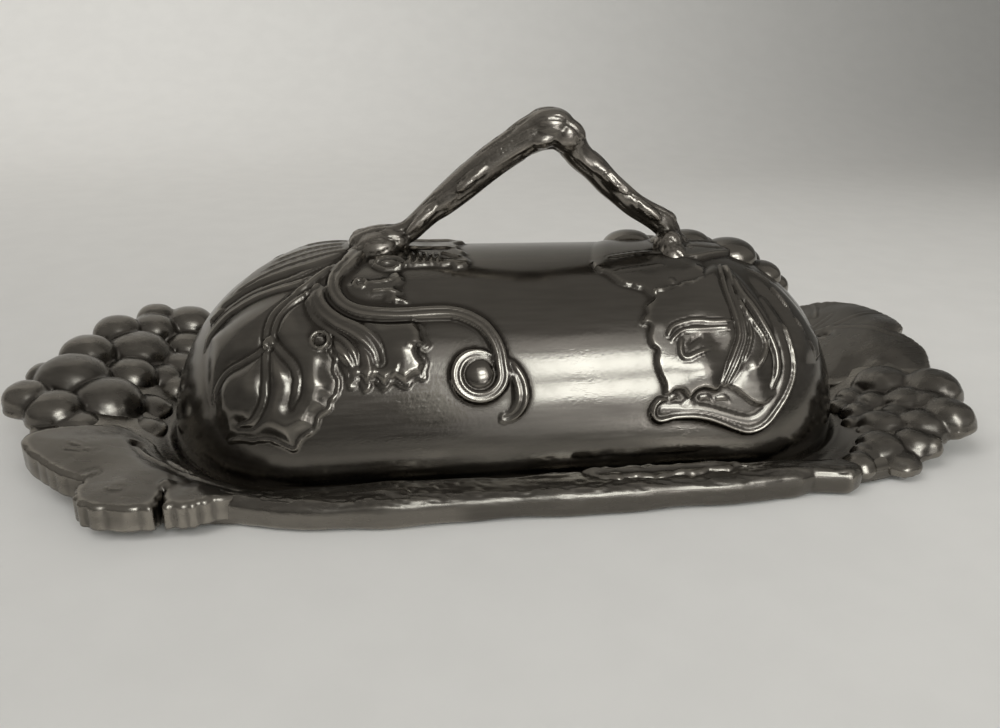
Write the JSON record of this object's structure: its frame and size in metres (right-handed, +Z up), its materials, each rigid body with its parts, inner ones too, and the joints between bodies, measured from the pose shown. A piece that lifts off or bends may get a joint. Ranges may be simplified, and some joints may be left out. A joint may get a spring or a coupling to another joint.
{
  "type": "covered butter dish",
  "caption": "Oblong metal butter dish: a tray with vine, leaf and grape ornament, and a half-barrel cover with raised vine leaves and a bent twig handle.",
  "frame": {"origin": "under the middle of the dish, on the surface it stands on", "axes": "+Z up, +X along the dish's length, -Y towards the front, which shows the curled tendril on the cover"},
  "size_m": [0.268, 0.106, 0.0869],
  "materials": {
    "tray_metal": "cast, with a dark pewter finish rubbed back to a satin",
    "cover_metal": "cast, with a dark pewter finish polished on the smooth field",
    "handle_metal": "cast, with a dark pewter finish and grooved bark",
    "screw_steel": "plain"
  },
  "bodies": {
    "tray": {"tray_pan": "tray_metal", "front_branch": "tray_metal", "back_branch": "tray_metal", "left_grapes": "tray_metal", "right_grapes": "tray_metal", "left_leaf": "tray_metal", "right_leaf": "tray_metal", "front_rim_leaf": "tray_metal", "back_rim_leaf": "tray_metal"},
    "cover": {"cover_shell": "cover_metal", "left_front_leaf": "cover_metal", "left_back_leaf": "cover_metal", "left_middle_leaf": "cover_metal", "right_back_middle_leaf": "cover_metal", "left_foot_leaf": "cover_metal", "right_front_leaf": "cover_metal", "right_back_leaf": "cover_metal", "right_foot_leaf": "cover_metal", "front_tendril": "cover_metal", "back_tendril": "cover_metal", "front_stem": "cover_metal", "back_stem": "cover_metal", "cover_grapes": "cover_metal", "handle": "handle_metal", "handle_screws": "screw_steel"}
  },
  "joints": [
    {"name": "cover_lift", "type": "slide", "parent": "tray", "child": "cover", "axis": [0, 0, 1], "range_m": [0, 0.12]}
  ]
}
